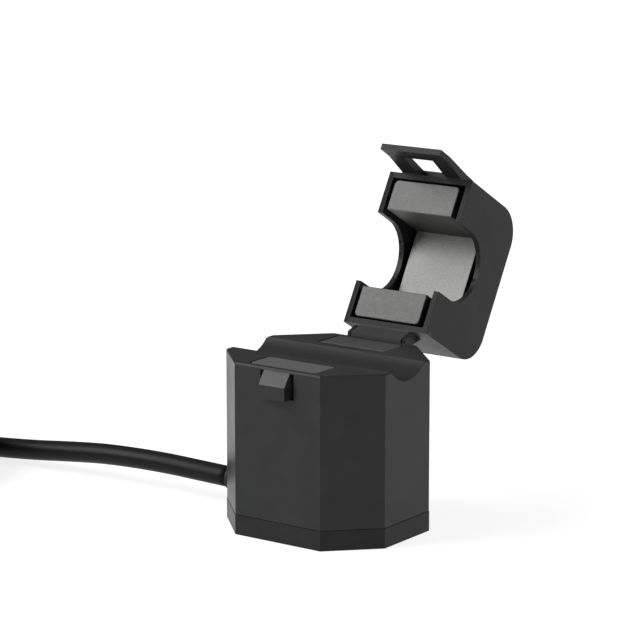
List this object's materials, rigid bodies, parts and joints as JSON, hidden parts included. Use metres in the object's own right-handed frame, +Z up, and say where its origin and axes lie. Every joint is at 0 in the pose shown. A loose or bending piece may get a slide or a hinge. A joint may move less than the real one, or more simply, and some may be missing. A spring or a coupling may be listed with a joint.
{
  "type": "split-core current transformer",
  "caption": "Clamp-on current transformer: a hinged lid with a latch loop closes a ferrite core round a conductor, and a two-core lead carries the output.",
  "frame": {"origin": "centre of the housing's flat underside, on the surface it stands on", "axes": "+X along the measured conductor, towards the side away from the lead; +Y from the latch to the hinge; +Z up"},
  "size_m": [0.1103, 0.0765, 0.05],
  "materials": {
    "case_plastic": "fine spark-eroded satin black",
    "cap_plastic": "fine spark-eroded satin black",
    "lid_plastic": "fine spark-eroded satin black",
    "ferrite": "ground dark grey ferrite",
    "ferrite_lid": "ground dark grey ferrite",
    "bobbin_nylon": "natural nylon",
    "enamelled_copper": "enamelled fine wire in layers",
    "polyester_tape": "thin yellow film",
    "tinned_metal": "tinned",
    "board_green": "green solder mask",
    "component_black": "moulded black",
    "pad_rubber": "soft foam rubber",
    "wire_white": "smooth insulation",
    "wire_black": "smooth insulation",
    "gland_rubber": "matt black",
    "cable_sheath": "satin black sheath",
    "pin_steel": "blackened steel",
    "spring_steel": "rolled strip",
    "tie_nylon": "black nylon"
  },
  "bodies": {
    "base": {"housing": "case_plastic", "base_cap": "cap_plastic", "lower_core": "ferrite", "bobbin_upper": "bobbin_nylon", "bobbin_lower": "bobbin_nylon", "secondary_winding": "enamelled_copper", "winding_tape": "polyester_tape", "terminal_pins": "tinned_metal", "circuit_board": "board_green", "burden_resistor": "component_black", "suppressor_diode": "component_black", "core_pads": "pad_rubber", "inner_lead_white": "wire_white", "inner_lead_black": "wire_black", "cable_gland": "gland_rubber", "cable_inner_end": "cable_sheath", "hinge_pin": "pin_steel", "cable": "cable_sheath", "cable_coil": "cable_sheath", "lead_white": "wire_white", "lead_black": "wire_black", "lead_tips": "tinned_metal", "coil_tie": "tie_nylon"},
    "lid": {"lid": "lid_plastic", "upper_core": "ferrite_lid", "core_spring": "spring_steel"}
  },
  "joints": [
    {"name": "lid_hinge", "type": "hinge", "parent": "base", "child": "lid", "pos_m": [0, 0.0129, 0.02405], "axis": [1, 0, 0], "range_deg": [0, 120]}
  ]
}
